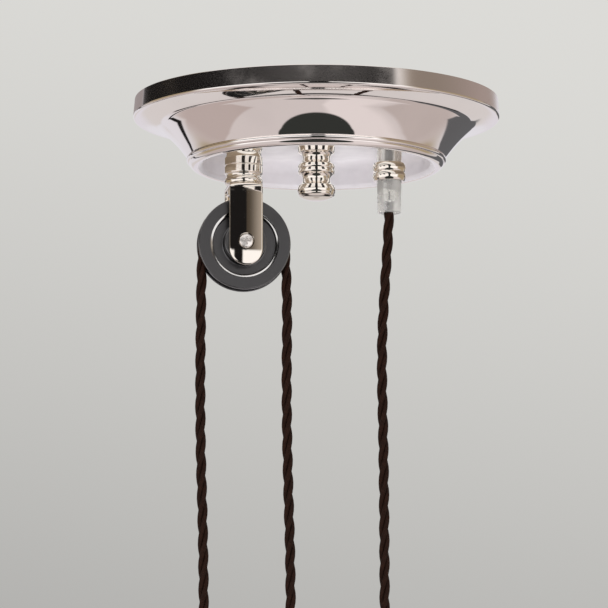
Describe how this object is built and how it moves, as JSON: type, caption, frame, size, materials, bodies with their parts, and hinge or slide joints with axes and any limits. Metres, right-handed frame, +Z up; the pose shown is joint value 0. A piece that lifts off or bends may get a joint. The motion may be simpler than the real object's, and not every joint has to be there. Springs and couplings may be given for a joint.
{
  "type": "rise and fall pendant",
  "caption": "Ceiling pendant with a spun canopy, a pulley, a counterweight and a lampholder that rises and falls on twisted flex.",
  "frame": {"origin": "middle of the canopy on the ceiling plane, where the strap is screwed to the ceiling", "axes": "+Z up into the ceiling, +X from the ceiling pulley to the cord grip, -Y towards the front where the axle screw's head is"},
  "size_m": [0.18, 0.18, 0.4801],
  "materials": {
    "canopy_nickel": "polished nickel plate on spun steel",
    "turned_nickel": "polished nickel plate",
    "wheel_nickel": "dark polished nickel plate",
    "screw_nickel": "polished nickel plate",
    "zinc_steel": "zinc plated",
    "raw_iron": "raw",
    "bronze": "sintered bronze",
    "brass": "satin",
    "frosted_nylon": "frosted, lets light through",
    "white_nylon": "matte",
    "block_plastic": "satin",
    "glazed_porcelain": "glazed",
    "core_brown": "satin",
    "core_blue": "satin",
    "core_green": "satin",
    "twisted_flex": "braided rayon, matte"
  },
  "bodies": {
    "root": {"canopy_shell": "canopy_nickel", "ceiling_strap": "zinc_steel", "centre_stud": "zinc_steel", "stud_nut": "zinc_steel", "finial_washer": "white_nylon", "finial": "turned_nickel", "pulley_stem": "zinc_steel", "pulley_collar": "turned_nickel", "pulley_yoke": "turned_nickel", "pulley_yoke_nut": "turned_nickel", "ceiling_axle": "screw_nickel", "ceiling_axle_nut": "screw_nickel", "ceiling_axle_washers": "zinc_steel", "plate_washers": "zinc_steel", "plate_locknuts": "zinc_steel", "grip_base": "frosted_nylon", "grip_collar": "turned_nickel", "grip_body": "frosted_nylon", "grip_collet": "white_nylon", "terminal_block": "block_plastic", "terminal_tubes": "brass", "terminal_screws": "zinc_steel", "strap_screws": "zinc_steel", "core_live": "core_brown", "core_neutral": "core_blue", "core_earth": "core_green", "flex_canopy_tail": "twisted_flex", "flex_feed_run": "twisted_flex", "flex_middle_run": "twisted_flex", "flex_ceiling_loop": "twisted_flex", "flex_lamp_run": "twisted_flex"},
    "ceiling_wheel": {"ceiling_wheel": "wheel_nickel", "ceiling_wheel_bush": "bronze"},
    "counterweight": {"weight_yoke": "turned_nickel", "weight_yoke_nut": "turned_nickel", "weight_axle": "screw_nickel", "weight_axle_nut": "screw_nickel", "weight_axle_washers": "zinc_steel", "weight_collar": "turned_nickel", "weight_lid": "turned_nickel", "weight_can": "turned_nickel", "weight_rod": "zinc_steel", "ballast_discs": "raw_iron", "weight_finial": "turned_nickel", "flex_weight_loop": "twisted_flex"},
    "weight_wheel": {"weight_wheel": "wheel_nickel", "weight_wheel_bush": "bronze"},
    "lampholder": {"holder_grip_base": "frosted_nylon", "holder_grip_collar": "turned_nickel", "holder_grip_body": "frosted_nylon", "holder_grip_collet": "white_nylon", "holder_cap": "turned_nickel", "holder_shell": "turned_nickel", "holder_insert": "glazed_porcelain", "holder_terminals": "zinc_steel", "screw_shell": "brass", "centre_contact": "brass", "shade_ring_upper": "turned_nickel", "shade_ring_lower": "turned_nickel", "flex_lamp_tail": "twisted_flex"}
  },
  "joints": [
    {"name": "lamp_rise_fall", "type": "slide", "parent": "root", "child": "lampholder", "axis": [0, 0, 1], "range_m": [-0.2, 0.12], "deforming": ["flex_lamp_run"]},
    {"name": "weight_travel", "type": "slide", "parent": "root", "child": "counterweight", "axis": [0, 0, 1], "range_m": [-0.06, 0.1], "deforming": ["flex_middle_run", "flex_feed_run"]},
    {"name": "ceiling_wheel_spin", "type": "hinge", "parent": "root", "child": "ceiling_wheel", "pos_m": [-0.0357, 0, -0.0725], "axis": [-0.1219, 0.9925, 0], "range_deg": [-568, 341]},
    {"name": "weight_wheel_spin", "type": "hinge", "parent": "counterweight", "child": "weight_wheel", "pos_m": [0.01005, 0, -0.33], "axis": [0, 1, 0], "range_deg": [-150, 249]}
  ],
  "couplings": [
    {"joint": "weight_travel", "follows": "lamp_rise_fall", "ratio": -0.5},
    {"joint": "ceiling_wheel_spin", "follows": "lamp_rise_fall", "rad_per_m": 49.505},
    {"joint": "weight_wheel_spin", "follows": "lamp_rise_fall", "rad_per_m": -21.692}
  ]
}
